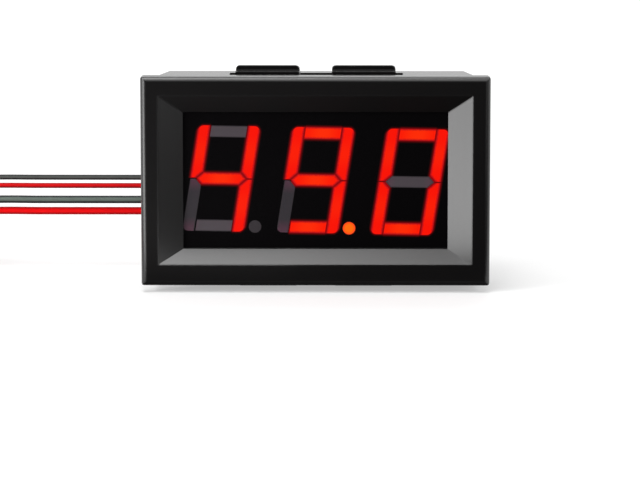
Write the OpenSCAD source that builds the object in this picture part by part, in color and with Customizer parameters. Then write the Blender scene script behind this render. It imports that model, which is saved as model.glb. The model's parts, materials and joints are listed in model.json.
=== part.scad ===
// Three-digit LED panel meter: a snap-in case with a sunk display, a circuit
// board behind it and four leads soldered to the board.
// +X runs to the reader's right, +Y from the face to the back, +Z up. The origin
// is under the middle of the case, at the foot of the lower spring ears.

/* [Case] */
// Wall of the case body
wall = 1.25; // [1:0.05:1.4]
// Lap of the bezel over the body at the left and right
flange_side = 1.5; // [1:0.1:2.5]
// Lap of the bezel over the body at the top and bottom
flange_top = 1.25; // [1:0.05:2]
// Thickness of the bezel's rim
bezel_t = 2.2; // [2:0.1:2.6]
// Radius of the rounding round the bezel's face
edge_r = 0.85; // [0.4:0.05:1.2]
// Radius of the bezel's four corners, seen from the front
corner_r = 0.5; // [0.3:0.1:1]
// Depth of the sunk surround
recess_d = 2; // [1.5:0.1:2.4]
// Width of the sunk surround's sloped sides
slope_side = 3.35; // [2.5:0.05:3.6]
// Height of the sunk surround's sloped top
slope_top = 2.45; // [1.8:0.05:2.6]
// Height of the sunk surround's sloped bottom
slope_bottom = 1.9; // [1.6:0.05:2.6]
// Thickness of the window's lip
lip_t = 0.5; // [0.4:0.1:0.8]
// How far the window's lip laps over the display at each side
lip_side = 0.55; // [0.3:0.05:0.8]
// How far the window's lip laps over the display at the top
lip_top = 0.1; // [0.1:0.025:0.3]
// Gap below the display at the window's lower edge
sill_gap = 0.1; // [0:0.05:0.2]
// How much each side wall draws in towards the back
taper = 1.6; // [0.8:0.1:2]
// Length over which the side walls draw in
taper_len = 8; // [6:0.5:10]
// Free depth behind the circuit board
rear_space = 7.9; // [7.5:0.1:10]

/* [Spring ears] */
// Width of one spring ear
ear_w = 8.8; // [7:0.1:10]
// Gap between the two ears of a pair
ear_gap = 4.5; // [4:0.1:6]
// Side gap between an ear and its window
ear_side = 1.2; // [0.8:0.1:1.6]
// How far an ear's tooth stands out of the body
ear_rise = 2.2; // [1.6:0.1:2.6]
// Depth of the tooth's face behind the bezel
tooth_gap = 4.2; // [4:0.1:5]
// Height of the tooth's face
tooth_h = 0.7; // [0.5:0.05:0.9]
// Length of the tongue in front of the tooth
tongue = 2; // [1:0.1:2.4]
// Thickness of the tongue
tongue_t = 0.8; // [0.6:0.05:1]
// Rounding of the ears' outer corners
ear_r = 0.6; // [0.3:0.05:0.65]
// Strip of wall left behind the windows
ear_root = 3; // [2.5:0.1:4]
// Strip of wall left between the bezel and the windows
window_front = 1.2; // [1:0.1:2]

/* [Display] */
// Width of the display block
display_w = 37.6; // [37:0.1:42]
// Height of the display block
display_h = 19; // [18:0.1:22]
// Depth of the display block
display_d = 8; // [7:0.1:9]
// Digit shown first
first_digit = 4; // [0, 1, 2, 3, 4, 5, 6, 7, 9]
// Digit shown second
second_digit = 9; // [0, 1, 2, 3, 4, 5, 6, 7, 9]
// Digit shown third
third_digit = 0; // [0, 1, 2, 3, 4, 5, 6, 7, 9]
// Strip of the display's face beside the outer digits, at their middle height
digit_side = 1.55; // [1.5:0.05:2]
// Height of a digit
digit_h = 14.7; // [12:0.1:15]
// Width of a digit, before it leans
digit_w = 8.5; // [7:0.1:8.7]
// Width of a segment's stroke
stroke = 1.6; // [1.2:0.05:1.7]
// Gap between neighbouring segments
segment_gap = 0.2; // [0.15:0.05:0.35]
// Lean of the digits, in degrees
lean = 8; // [0:0.5:10]
// How far the digits' middle lies below the display's middle
digits_drop = 0.1; // [0:0.05:0.3]
// Turn of the digits on the display's face, clockwise as they read, in degrees
digits_turn = 1; // [0:0.25:1.5]
// Radius of a digit's outer corners
digit_r = 0.8; // [0.3:0.1:1]
// Radius of a decimal point
point_r = 0.87; // [0.7:0.01:0.95]
// Decimal point's distance right of its digit's centre
point_x = 4.75; // [4.5:0.05:5.2]
// Decimal point's distance below its digit's centre
point_z = 6.6; // [6:0.1:7]
// Floor of the reflector, between a light well and its chip
well_floor = 1.1; // [0.8:0.1:1.4]
// Thickness of the display's own board
carrier_t = 0.8; // [0.6:0.1:1]
// Thickness of the resin over the display's own board
resin_t = 0.6; // [0.4:0.1:0.8]
// Wall of the reflector around its own board
reflector_wall = 0.6; // [0.5:0.05:0.9]
// Side of a light-emitting chip
chip = 0.3; // [0.25:0.05:0.4]

/* [Circuit board] */
// Thickness of the circuit board
board_t = 1.6; // [1:0.1:2]
// How far the board is wider than the display at each side
board_side = 0.7; // [0.5:0.05:1]
// How far the board is taller than the display at top and bottom
board_top = 2.2; // [2:0.1:2.5]
// Gap between the display's back and the board
stand_off = 1; // [0.5:0.1:1.5]
// Clearance of the board in the case
board_gap = 0.15; // [0.1:0.05:0.25]
// Clearance of the board under the top wall
board_gap_top = 0.3; // [0.2:0.05:0.4]
// Distance from pin to pin
pin_pitch = 2.54; // [2:0.02:2.54]
// Distance between the two rows of pins
row_pitch = 15.24; // [14:0.02:15.24]
// Number of pins in a row
pin_count = 6; // [5, 6]
// Side of a square pin
pin = 0.5; // [0.4:0.05:0.6]
// Hole for a pin
pin_hole = 0.9; // [0.85:0.05:1]
// How far a pin stands out of the back of the board
pin_out = 1; // [0.8:0.1:1.4]

/* [Trimmer] */
// Width of the trimmer's body
trim_w = 4.2; // [4:0.1:5]
// Height of the trimmer's body
trim_h = 4.6; // [4.4:0.1:5.4]
// Thickness of the trimmer's body
trim_t = 1.7; // [1.5:0.1:2.2]
// Radius of the turning disc
rotor_r = 1.6; // [1.4:0.05:1.7]
// Thickness of the turning disc
rotor_t = 0.75; // [0.6:0.05:0.9]
// Radius of the stud under the disc
stud_r = 0.6; // [0.5:0.05:0.8]
// Running clearance round the disc and its stud
running_gap = 0.05; // [0.03:0.01:0.08]
// Width of the screwdriver slot
slot_w = 0.5; // [0.4:0.05:0.6]
// Length of the screwdriver slot
slot_l = 2.2; // [1.8:0.1:2.4]
// Depth of the screwdriver slot
slot_d = 0.35; // [0.25:0.05:0.4]

/* [Leads] */
// Diameter of a thin supply lead
thin_d = 0.75; // [0.65:0.05:0.8]
// Diameter of a thick measuring lead
thick_d = 1.1; // [0.9:0.05:1.2]
// Diameter of the bare end of a thin lead
thin_core = 0.4; // [0.3:0.05:0.5]
// Diameter of the bare end of a thick lead
thick_core = 0.6; // [0.5:0.05:0.7]
// Length of a bare end
tip_len = 4; // [3:0.5:6]
// Thickness of the ties round the coils
tie_t = 0.25; // [0.2:0.05:0.4]
// Width of the ties
tie_w = 1.6; // [1.2:0.1:2.4]
// Height of a lead's solder joint
joint_h = 1.2; // [0.9:0.1:1.4]

/* [Hidden] */

$fn = 48;
eps = 0.01;
big = 100;

// Depths are measured from the bezel's face, and heights from its middle.
display_face = recess_d + lip_t;
carrier_face = display_face + display_d - resin_t - carrier_t;
display_back = display_face + display_d;
board_face = display_back + stand_off;
board_back = board_face + board_t;
case_d = board_back + rear_space;

board_w = display_w + 2 * board_side;
board_h = display_h + 2 * board_top;
rear_inner_w = board_w + 2 * board_gap;
inner_w = rear_inner_w + 2 * taper;
inner_h = board_h + 2 * board_gap_top;
rear_w = rear_inner_w + 2 * wall;
body_w = inner_w + 2 * wall;
body_h = inner_h + 2 * wall;
bezel_w = body_w + 2 * flange_side;
bezel_h = body_h + 2 * flange_top;
window_w = display_w - 2 * lip_side;
window_top = display_h / 2 - lip_top;
window_bottom = -display_h / 2 - sill_gap;
recess_w = window_w + 2 * slope_side;
recess_top = window_top + slope_top;
recess_bottom = window_bottom - slope_bottom;

centre_z = max(ear_rise, flange_top) + body_h / 2;

// Ribs inside the case that carry the display and the board
rib_t = 1.2;
rib_gap = 0.15;
rib_z = 7.2;
rib_x = 15.6;
locator_d = 3.5;
catch_w = 3;
catch_l = 2.2;
catch_h = 0.65;
catch_gap = 0.1;
rear_chamfer = 0.3;

// Spring ears
ear_pair_w = 2 * ear_w + ear_gap;
slot_in_wall_w = ear_pair_w + 2 * ear_side;
window_start = bezel_t + window_front;
window_end = case_d - ear_root;
tooth_y = bezel_t + tooth_gap;
tongue_y = max(tooth_y - tongue, window_start + 0.5);
ear_top = body_h / 2 + ear_rise;
tongue_top = ear_top - tooth_h;
ear_under = body_h / 2 - wall;

// Segments that make up each digit from 0 to 9
SHAPES = ["abcdef", "bc", "abdeg", "abcdg", "bcfg", "acdfg", "acdefg", "abc",
    "abcdefg", "abcdfg"];
shown = [first_digit, second_digit, third_digit];
digit_pitch = (display_w - digit_w) / 2 - digit_side;
half_w = digit_w / 2;
half_h = digit_h / 2;
diagonal_gap = segment_gap * sqrt(2);
bar_tip = half_w - stroke / 2 - 0.1;
shoulder = diagonal_gap + bar_tip - (half_w - stroke);
well_back = carrier_face - well_floor;

// Clearances and finishes of the parts on the board
part_rise = 0.1;
foil = 0.2;

function leaning(p) = [p.x + p.y * tan(lean), p.y];
function has(word, letter) = len(search(letter, word)) > 0;

// ---- Placing ----

// Puts a part that is drawn from the middle of the bezel's face in its place
module in_case() {
    translate([0, -case_d / 2, centre_z]) children();
}

// Extrudes an outline of across and up from one depth to another
module between(start, end) {
    translate([0, end, 0])
        rotate([90, 0, 0])
            linear_extrude(end - start) children();
}

// Extrudes an outline of depth and up along X, centred
module side_profile(width) {
    rotate([90, 0, 90])
        linear_extrude(width, center = true) children();
}

// Puts a part that is drawn lying down on the back of the board, its top to the rear
module on_board(x, z) {
    in_case()
        translate([x, board_back, z])
            rotate([-90, 0, 0]) children();
}

module both_sides() {
    for (side = [0, 1]) mirror([side, 0, 0]) children();
}

module top_and_bottom() {
    for (side = [0, 1]) mirror([0, 0, side]) children();
}

module block(w, h, t) {
    translate([-w / 2, -h / 2, 0]) cube([w, h, t]);
}

module rounded_square(w, h, r) {
    union() {
        square([w - 2 * r, h], center = true);
        square([w, h - 2 * r], center = true);
        for (x = [-1, 1], z = [-1, 1])
            translate([x * (w / 2 - r), z * (h / 2 - r)]) circle(r);
    }
}

// ---- Case ----

// Section of the bezel's rim, with its front corners rounded
module rim_section(across) {
    union() {
        translate([-across / 2 + edge_r, 0]) square([across - 2 * edge_r, bezel_t]);
        translate([-across / 2, edge_r]) square([across, bezel_t - edge_r]);
        for (side = [-1, 1])
            translate([side * (across / 2 - edge_r), edge_r]) circle(edge_r);
    }
}

module bezel() {
    intersection() {
        translate([0, 0, -bezel_h]) linear_extrude(2 * bezel_h) rim_section(bezel_w);
        side_profile(2 * bezel_w)
            rotate(90) mirror([0, 1]) rim_section(bezel_h);
        between(-1, bezel_t + 1) rounded_square(bezel_w, bezel_h, corner_r);
    }
}

// Section of the sunk surround, from the face down to the window, each given as
// the places of its two sides
module surround_section(face, window) {
    polygon([[face[0], 0], [face[0], -1], [face[1], -1], [face[1], 0],
        [window[1], recess_d], [window[1], display_face + 1],
        [window[0], display_face + 1], [window[0], recess_d]]);
}

module surround() {
    intersection() {
        translate([0, 0, -bezel_h]) linear_extrude(2 * bezel_h)
            surround_section([-recess_w / 2, recess_w / 2], [-window_w / 2, window_w / 2]);
        side_profile(2 * bezel_w)
            rotate(90) mirror([0, 1])
                surround_section([recess_bottom, recess_top], [window_bottom, window_top]);
    }
}

// Outline of the body seen from above, drawn in towards the back
module plan(front, rear, wide, narrow) {
    bend = case_d - taper_len;
    polygon([[-wide / 2, front], [wide / 2, front], [wide / 2, bend],
        [narrow / 2, case_d], [narrow / 2, rear], [-narrow / 2, rear],
        [-narrow / 2, case_d], [-wide / 2, bend]]);
}

module shell() {
    difference() {
        intersection() {
            translate([0, 0, -body_h / 2]) linear_extrude(body_h)
                plan(edge_r, case_d, body_w, rear_w);
            between(0, case_d) rounded_square(body_w, body_h, corner_r);
        }
        translate([0, 0, -inner_h / 2]) linear_extrude(inner_h)
            plan(display_face, case_d + 1, inner_w, rear_inner_w);
        top_and_bottom()
            translate([-slot_in_wall_w / 2, window_start, inner_h / 2 - 1])
                cube([slot_in_wall_w, window_end - window_start, wall + 2]);
        top_and_bottom() side_profile(big)
            polygon([[case_d + eps, body_h / 2 - rear_chamfer],
                [case_d + eps, body_h / 2 + eps],
                [case_d - rear_chamfer, body_h / 2 + eps]]);
    }
}

// Side view of a spring ear, from its root in the wall to its stepped tooth
module ear_profile() {
    polygon([[window_end + eps, ear_under], [window_end + eps, body_h / 2],
        [tooth_y, ear_top], [tooth_y, tongue_top], [tongue_y, tongue_top],
        [tongue_y, tongue_top - tongue_t], [tooth_y, tongue_top - tongue_t]]);
}

module ear() {
    intersection() {
        side_profile(ear_w) ear_profile();
        between(0, case_d)
            translate([0, ear_top - body_h / 2])
                rounded_square(ear_w, body_h, ear_r);
    }
}

// Ribs at the side walls: the board rests on their ends
module side_ribs() {
    from = display_w / 2 + rib_gap;
    for (z = [-rib_z, rib_z])
        translate([from, display_face - eps, z - rib_t / 2])
            cube([inner_w / 2 - from + eps, board_face - display_face + eps, rib_t]);
}

// Ribs at the top wall, each with a foot that keeps the display in the middle
module top_rib() {
    foot = display_h / 2 + rib_gap;
    seat = board_h / 2 - catch_h;
    side_profile(rib_t)
        polygon([[display_face - eps, inner_h / 2 + eps], [display_face - eps, foot],
            [display_face + locator_d, foot], [display_face + locator_d, seat],
            [board_face, seat], [board_face, inner_h / 2 + eps]]);
}

// Wedge that the board snaps behind
module catch() {
    face = board_back + catch_gap;
    side_profile(catch_w)
        polygon([[face, inner_h / 2 + eps], [face, inner_h / 2 - catch_h],
            [face + catch_l, inner_h / 2 + eps]]);
}

module housing() {
    color("#18181a") in_case()
        union() {
            difference() {
                union() {
                    bezel();
                    shell();
                }
                surround();
            }
            both_sides() side_ribs();
            both_sides() top_and_bottom() translate([rib_x, 0, 0]) {
                top_rib();
                catch();
            }
            top_and_bottom() both_sides()
                translate([(ear_gap + ear_w) / 2, 0, 0]) ear();
        }
}

// ---- Display ----

// Upper right stroke: rounded at the corner, cut off slantwise at the middle bar
function side_stroke() = concat(
    [[half_w - stroke, half_h]],
    [for (a = [90:-15:0])
        [half_w - digit_r + digit_r * cos(a), half_h - digit_r + digit_r * sin(a)]],
    [[half_w, segment_gap / 2],
        [half_w - stroke + shoulder - segment_gap / 2, segment_gap / 2],
        [half_w - stroke, shoulder]]);

function end_bar() =
    let (reach = half_w - stroke - segment_gap)
    [[-reach, half_h], [reach, half_h], [reach, half_h - stroke],
        [-reach, half_h - stroke]];

function middle_bar() =
    let (flat_part = bar_tip - stroke / 2)
    [[-bar_tip, 0], [-flat_part, stroke / 2], [flat_part, stroke / 2],
        [bar_tip, 0], [flat_part, -stroke / 2], [-flat_part, -stroke / 2]];

function flipped(points, x, z) = [for (p = points) [x * p.x, z * p.y]];

function outline(letter) =
    letter == "a" ? end_bar() :
    letter == "b" ? side_stroke() :
    letter == "c" ? flipped(side_stroke(), 1, -1) :
    letter == "d" ? flipped(end_bar(), 1, -1) :
    letter == "e" ? flipped(side_stroke(), -1, -1) :
    letter == "f" ? flipped(side_stroke(), -1, 1) :
    middle_bar();

module segments(word) {
    for (letter = word) polygon([for (p = outline(letter)) leaning(p)]);
}

function digit_x(i) = (i - 1) * digit_pitch;

// Turns and lowers what is drawn from the middle of the second digit
module on_display() {
    translate([0, 0, -digits_drop]) rotate([0, digits_turn, 0]) children();
}

// Every segment of digit i that is in the word, as a body of clear resin
module guides(i, word, start, end) {
    on_display() translate([digit_x(i), 0, 0]) between(start, end) segments(word);
}

module point(i, start, end) {
    on_display() translate([digit_x(i) + point_x, end, -point_z])
        rotate([90, 0, 0]) cylinder(h = end - start, r = point_r);
}

function lit(i) = SHAPES[shown[i]];
function dark(i) = [for (letter = "abcdefg") if (!has(lit(i), letter)) letter];

module digit_lit(i) {
    color("#ff2a0c") in_case() guides(i, lit(i), display_face, well_back);
}

module digit_dark(i) {
    color("#4a4548") in_case() guides(i, dark(i), display_face, well_back);
}

module point_lit() {
    color("#ff7000") in_case() point(1, display_face, well_back);
}

module point_dark() {
    color("#4a4548") in_case() point(0, display_face, well_back);
}

module pin_places() {
    for (i = [0 : pin_count - 1], row = [-1, 1])
        translate([(i - (pin_count - 1) / 2) * pin_pitch, 0, row * row_pitch / 2])
            children();
}

module pins_between(start, end) {
    pin_places()
        translate([-pin / 2, start, -pin / 2]) cube([pin, end - start, pin]);
}

module display_reflector() {
    color("#101012") in_case() difference() {
        translate([-display_w / 2, display_face, -display_h / 2])
            cube([display_w, display_d, display_h]);
        for (i = [0:2]) guides(i, "abcdefg", display_face - 1, well_back);
        for (i = [0:1]) point(i, display_face - 1, well_back);
        chip_places()
            translate([-chip, -eps, -chip]) cube([2 * chip, well_floor + 1, 2 * chip]);
        translate([-display_w / 2 + reflector_wall, carrier_face,
                -display_h / 2 + reflector_wall])
            cube([display_w - 2 * reflector_wall, display_d,
                display_h - 2 * reflector_wall]);
    }
}

// Middle of each segment, where its chip sits behind it
function middles() = [[0, half_h - stroke / 2], [half_w - stroke / 2, half_h / 2],
    [half_w - stroke / 2, -half_h / 2], [0, -half_h + stroke / 2],
    [-half_w + stroke / 2, -half_h / 2], [-half_w + stroke / 2, half_h / 2], [0, 0]];

module chip_places() {
    on_display() {
        for (i = [0:2], m = middles())
            translate([digit_x(i) + leaning(m).x, well_back, m.y]) children();
        for (i = [0:1])
            translate([digit_x(i) + point_x, well_back, -point_z]) children();
    }
}

module light_chips() {
    color("#d8c070") in_case() chip_places()
        translate([-chip / 2, well_floor - chip, -chip / 2]) cube(chip);
}

module inlay(start, end) {
    translate([-display_w / 2 + reflector_wall, start, -display_h / 2 + reflector_wall])
        cube([display_w - 2 * reflector_wall, end - start,
            display_h - 2 * reflector_wall]);
}

module display_board() {
    color("#c9c08a") in_case() inlay(carrier_face, carrier_face + carrier_t);
}

module display_resin() {
    color("#d9d4c0") in_case() difference() {
        inlay(carrier_face + carrier_t, display_back);
        pins_between(carrier_face, board_back);
    }
}

module display_pins() {
    color("#c8c8cc") in_case()
        pins_between(carrier_face + carrier_t, board_back + pin_out);
}

// ---- Circuit board ----

// Where the four leads are soldered, from the top down
pad_x = -16.9;
pad_z = [-1.4, -3.7, -6.2, -8.9];
lead_d = [thin_d, thin_d, thick_d, thick_d];

module circuit_board() {
    color("#1f6b3a") in_case() difference() {
        translate([-board_w / 2, board_face, -board_h / 2])
            cube([board_w, board_t, board_h]);
        pin_places()
            translate([0, board_face - 1, 0])
                rotate([-90, 0, 0]) cylinder(h = board_t + 2, d = pin_hole);
    }
}

module pin_solder() {
    color("#d0d2d6") in_case() difference() {
        pin_places()
            translate([0, board_back, 0]) rotate([-90, 0, 0])
                cylinder(h = pin_out * 0.7, r1 = pin_hole, r2 = pin * 0.75);
        pins_between(board_back - 1, board_back + pin_out + 1);
    }
}

module lead_solder() {
    color("#d0d2d6") in_case()
        for (i = [0:3])
            translate([pad_x, board_back, pad_z[i]]) rotate([-90, 0, 0])
                cylinder(h = joint_h, r1 = 0.95, r2 = lead_d[i] / 2);
}

// Bent lead of a small outline package, from the body's side down to the board
module gull_lead(reach, w, rise) {
    bend = 0.35;
    rotate([90, 0, 0]) linear_extrude(w, center = true)
        polygon([[0, rise], [bend, rise], [bend + foil, foil], [reach, foil],
            [reach, 0], [bend, 0], [bend - foil, rise - foil], [0, rise - foil]]);
}

// Two rows of gull leads along X
module lead_rows(count, pitch, body, reach, rise) {
    for (i = [0 : count - 1], side = [0, 1])
        mirror([0, side, 0])
            translate([(i - (count - 1) / 2) * pitch, body / 2, 0])
                rotate(90) gull_lead(reach, 0.42, rise);
}

// Moulded package, a little narrower at the top, with a dimple at its first lead
module package(l, w, t) {
    draft = 0.12;
    mid = t / 2;
    difference() {
        translate([0, 0, part_rise]) union() {
            hull() {
                block(l - 2 * draft, w - 2 * draft, eps);
                translate([0, 0, mid]) block(l, w, foil);
            }
            hull() {
                translate([0, 0, mid]) block(l, w, foil);
                translate([0, 0, t]) block(l - 2 * draft, w - 2 * draft, eps);
            }
        }
        translate([-l / 2 + 0.9, w / 2 - 0.9, t]) cylinder(h = 1, r = 0.35);
    }
}

// Controller and amplifier
controller = [9.9, 3.9, 1.4];
controller_at = [2.6, 1.6];
amplifier = [4.9, 3.9, 1.4];
amplifier_at = [-8.9, -1.2];
lead_reach = 1.05;
lead_pitch = 1.27;
lead_rise = 0.85;

module controller_body() {
    color("#202022") on_board(controller_at.x, controller_at.y)
        package(controller.x, controller.y, controller.z);
}

module controller_leads() {
    color("#c4c6ca") on_board(controller_at.x, controller_at.y)
        lead_rows(8, lead_pitch, controller.y, lead_reach, lead_rise);
}

module amplifier_body() {
    color("#202022") on_board(amplifier_at.x, amplifier_at.y)
        package(amplifier.x, amplifier.y, amplifier.z);
}

module amplifier_leads() {
    color("#c4c6ca") on_board(amplifier_at.x, amplifier_at.y)
        lead_rows(4, lead_pitch, amplifier.y, lead_reach, lead_rise);
}

// Regulator: a flat package with a wide tab and three short leads
regulator = [4.5, 2.5, 1.5];
regulator_at = [-13.2, 8.2];

module regulator_body() {
    color("#202022") on_board(regulator_at.x, regulator_at.y)
        translate([0, 0, foil * 2]) package(regulator.x, regulator.y, regulator.z);
}

module regulator_tabs() {
    color("#c4c6ca") on_board(regulator_at.x, regulator_at.y) {
        translate([0, -0.9, 0]) block(1.7, 2.6, foil * 2);
        for (x = [-1.5, 0, 1.5])
            translate([x, 1.5, 0]) block(0.45, 1.2, foil * 2);
    }
}

// Two-ended moulded part with metal tabs folded under it
module folded_tabs(l, w, t) {
    for (side = [0, 1]) mirror([side, 0, 0]) {
        translate([l / 2 - 1, -w / 2, 0]) cube([1 + foil, w, foil]);
        translate([l / 2, -w / 2, 0]) cube([foil, w, t * 0.55]);
    }
}

module moulded_chip(l, w, t) {
    translate([0, 0, foil]) block(l, w, t);
}

diode = [4.2, 2.6, 2];
diode_at = [-12.9, 3.9];
tantalum = [3.5, 2.8, 1.8];
tantalum_at = [14.6, 7.4];
tab_share = 0.6;

module diode_body() {
    color("#262628") on_board(diode_at.x, diode_at.y)
        moulded_chip(diode.x, diode.y, diode.z);
}

module diode_tabs() {
    color("#c4c6ca") on_board(diode_at.x, diode_at.y)
        folded_tabs(diode.x, diode.y * tab_share, diode.z);
}

module tantalum_body() {
    color("#e0a326") on_board(tantalum_at.x, tantalum_at.y)
        moulded_chip(tantalum.x, tantalum.y, tantalum.z);
}

module tantalum_tabs() {
    color("#c4c6ca") on_board(tantalum_at.x, tantalum_at.y)
        folded_tabs(tantalum.x, tantalum.y * tab_share, tantalum.z);
}

// Small chip parts: length, width and thickness of the bare middle, and its ends
chip_part = [1.6, 0.8, 0.45];
capacitor_t = 0.75;
chip_end = 0.3;
resistor_row_z = -4.7;
resistor_row = [for (i = [0:6]) [-4.2 + i * 2.1, resistor_row_z]];
resistor_low = [for (i = [0:3]) [10.6 + i * 2.1, -10.2]];
capacitor_at = [[-8.9, 7.6], [9.6, 7.6], [9.6, -7.5], [-11.6, -7.4], [-11.6, -9.6]];

module upright_parts(places) {
    for (p = places) on_board(p.x, p.y) rotate(90) children();
}

module chip_middle(t) {
    block(chip_part.x - 2 * chip_end, chip_part.y, t);
}

module chip_ends(t) {
    for (side = [-1, 1])
        translate([side * (chip_part.x - chip_end) / 2, 0, 0])
            block(chip_end, chip_part.y, t);
}

module resistor_bodies() {
    color("#1b1b1f") upright_parts(concat(resistor_row, resistor_low))
        chip_middle(chip_part.z);
}

module capacitor_bodies() {
    color("#b08a5c") upright_parts(capacitor_at) chip_middle(capacitor_t);
}

module chip_part_ends() {
    color("#cfd1d4") {
        upright_parts(concat(resistor_row, resistor_low)) chip_ends(chip_part.z);
        upright_parts(capacitor_at) chip_ends(capacitor_t);
    }
}

// ---- Trimmer ----

trimmer_at = [13.6, -1.2];
well_depth = rotor_t + running_gap;
stud_len = 0.6;

module trimmer_body() {
    color("#e8e4d8") on_board(trimmer_at.x, trimmer_at.y) difference() {
        translate([0, 0, foil]) block(trim_w, trim_h, trim_t);
        translate([0, 0, foil + trim_t - well_depth])
            cylinder(h = well_depth + 1, r = rotor_r + running_gap);
        translate([0, 0, foil + trim_t - well_depth - stud_len - running_gap])
            cylinder(h = well_depth, r = stud_r + running_gap);
    }
}

module trimmer_tabs() {
    color("#c4c6ca") on_board(trimmer_at.x, trimmer_at.y) {
        for (x = [-1.3, 1.3])
            translate([x, trim_h / 2 - 0.2, 0]) block(0.8, 1.4, foil);
        translate([0, -trim_h / 2 + 0.2, 0]) block(1.4, 1.4, foil);
    }
}

module trimmer_rotor() {
    color("#cfa95a") on_board(trimmer_at.x, trimmer_at.y)
        translate([0, 0, foil + trim_t - rotor_t]) difference() {
            union() {
                cylinder(h = rotor_t, r = rotor_r);
                translate([0, 0, -stud_len]) cylinder(h = stud_len + eps, r = stud_r);
            }
            translate([0, 0, rotor_t - slot_d]) {
                block(slot_l, slot_w, 1);
                block(slot_w, slot_l, 1);
            }
        }
}

// ---- Leads ----

function unit(v) = v / norm(v);

function heading(points, i) =
    unit(points[min(i + 1, len(points) - 1)] - points[max(i - 1, 0)]);

// One ring of a tube: square to the heading, with its first corner towards up
function ring(p, dir, up, r) =
    let (side = unit(cross(dir, up)), top = cross(side, dir))
    [for (k = [0 : sides - 1])
        p + r * (cos(k * 360 / sides) * top + sin(k * 360 / sides) * side)];

sides = 8;

// Tube swept along the points; up is any direction that the route never takes
module tube(points, d, up) {
    rings = [for (i = [0 : len(points) - 1])
        each ring(points[i], heading(points, i), up, d / 2)];
    last = (len(points) - 1) * sides;
    polyhedron(
        points = rings,
        faces = concat(
            [[for (k = [0 : sides - 1]) k]],
            [[for (k = [sides - 1 : -1 : 0]) last + k]],
            [for (i = [0 : len(points) - 2], k = [0 : sides - 1])
                let (a = i * sides + k, b = i * sides + (k + 1) % sides)
                [b, a, a + sides, b + sides]]));
}

// Each lead runs straight back from its joint, round the end of the case's side
// wall, level to the left, and down to its turn of the coil.
supply_minus_route = [[-16.9, 3.8, 14.05], [-16.9, 6.5, 13.9], [-16.9, 9.5, 13.35],
    [-16.9, 11.3, 13], [-17.2, 12.8, 12.8], [-18.1, 14.1, 12.7],
    [-19.4, 15, 12.7], [-20.9, 15.3, 12.7], [-26, 15.3, 12.7], [-33, 15.3, 12.7],
    [-40, 15.3, 12.7], [-46.8, 15.3, 12.7], [-48.8, 15.3, 12.1], [-50.1, 15.3, 10.4],
    [-51.4, 15.3, 6.6], [-52.8, 15.3, 2.9], [-54.1, 15.3, 1.3], [-55.7, 15.3, 0.7]];
supply_plus_route = [[-16.9, 3.8, 11.75], [-16.9, 6.5, 11.7], [-16.9, 9, 11.6],
    [-16.9, 10.5, 11.6], [-17.2, 12, 11.6], [-18.1, 13.3, 11.6],
    [-19.4, 14.2, 11.6], [-20.9, 14.5, 11.6], [-26, 14.5, 11.6], [-33, 14.5, 11.6],
    [-40, 14.5, 11.6], [-47.2, 14.5, 11.6], [-49.2, 14.5, 11], [-50.5, 14.5, 9.2],
    [-51.6, 14.5, 6], [-52.7, 14.5, 2.9], [-54, 14.5, 1.3], [-56.8, 14.5, 0.65]];
signal_minus_route = [[-16.9, 3.8, 9.25], [-16.9, 5.6, 9.35], [-16.9, 7.5, 9.6],
    [-17.2, 9.2, 9.8], [-18.2, 10.7, 9.9], [-19.7, 11.7, 9.9], [-21.5, 12.05, 9.9],
    [-26, 12.05, 9.9], [-33, 12.05, 9.9], [-40, 12.05, 9.9], [-46.4, 12.05, 9.9],
    [-48.9, 12.05, 9.2], [-50.7, 12.05, 7.3], [-52.9, 12.05, 3.3],
    [-54.8, 12.05, 1.5], [-56, 12.05, 1]];
signal_plus_route = [[-16.9, 3.8, 6.55], [-16.9, 6, 6.75], [-16.9, 8.6, 7.6],
    [-17.2, 10.3, 8], [-18.2, 11.8, 8.1], [-19.7, 12.8, 8.1], [-21.5, 13.2, 8.1],
    [-26, 13.2, 8.1], [-33, 13.2, 8.1], [-40, 13.2, 8.1], [-46.8, 13.2, 8.1],
    [-49.3, 13.2, 7.4], [-51.1, 13.2, 5.5], [-52.4, 13.2, 3.3],
    [-54.2, 13.2, 1.5], [-57.6, 13.2, 0.8]];
skyward = [0, 0, 1];

// Coils: the middle of each, and its outer and inner rings of turns
supply_middle = [-58.5, 19];
supply_rings = [4.5, 3.7];
supply_turns = [3.25, 4];
signal_middle = [-60, 6.6];
signal_rings = [6.6, 5.45];
signal_turns = [2.5, 3];

module lead(route, d, tint) {
    color(tint) tube(route, d, skyward);
}

function coil_outer(rings, d) = rings[0] + d / 2;
function coil_inner(rings, d) = rings[1] - d / 2;
function coil_top(turns, d) = tie_t + d + turns[1] * d;

module coil(rings, turns, d, growth = 0) {
    inner = coil_inner(rings, d) - growth;
    rotate_extrude()
        translate([inner, tie_t - growth])
            square([coil_outer(rings, d) + growth - inner,
                coil_top(turns, d) + growth - (tie_t - growth)]);
}

module supply_coil() {
    color("#8a1c1c") translate(supply_middle)
        coil(supply_rings, supply_turns, thin_d);
}

module signal_coil() {
    color("#8a1c1c") translate(signal_middle)
        coil(signal_rings, signal_turns, thick_d);
}

// Band round a coil's turns, at the side away from the case
module tie(rings, turns, d) {
    difference() {
        intersection() {
            coil(rings, turns, d, tie_t);
            translate([-big, -tie_w / 2, -1]) cube([big, tie_w, big]);
        }
        coil(rings, turns, d);
    }
}

module supply_tie() {
    color("#202020") translate(supply_middle) rotate(-140)
        tie(supply_rings, supply_turns, thin_d);
}

module signal_tie() {
    color("#202020") translate(signal_middle) rotate(20)
        tie(signal_rings, signal_turns, thick_d);
}

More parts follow.
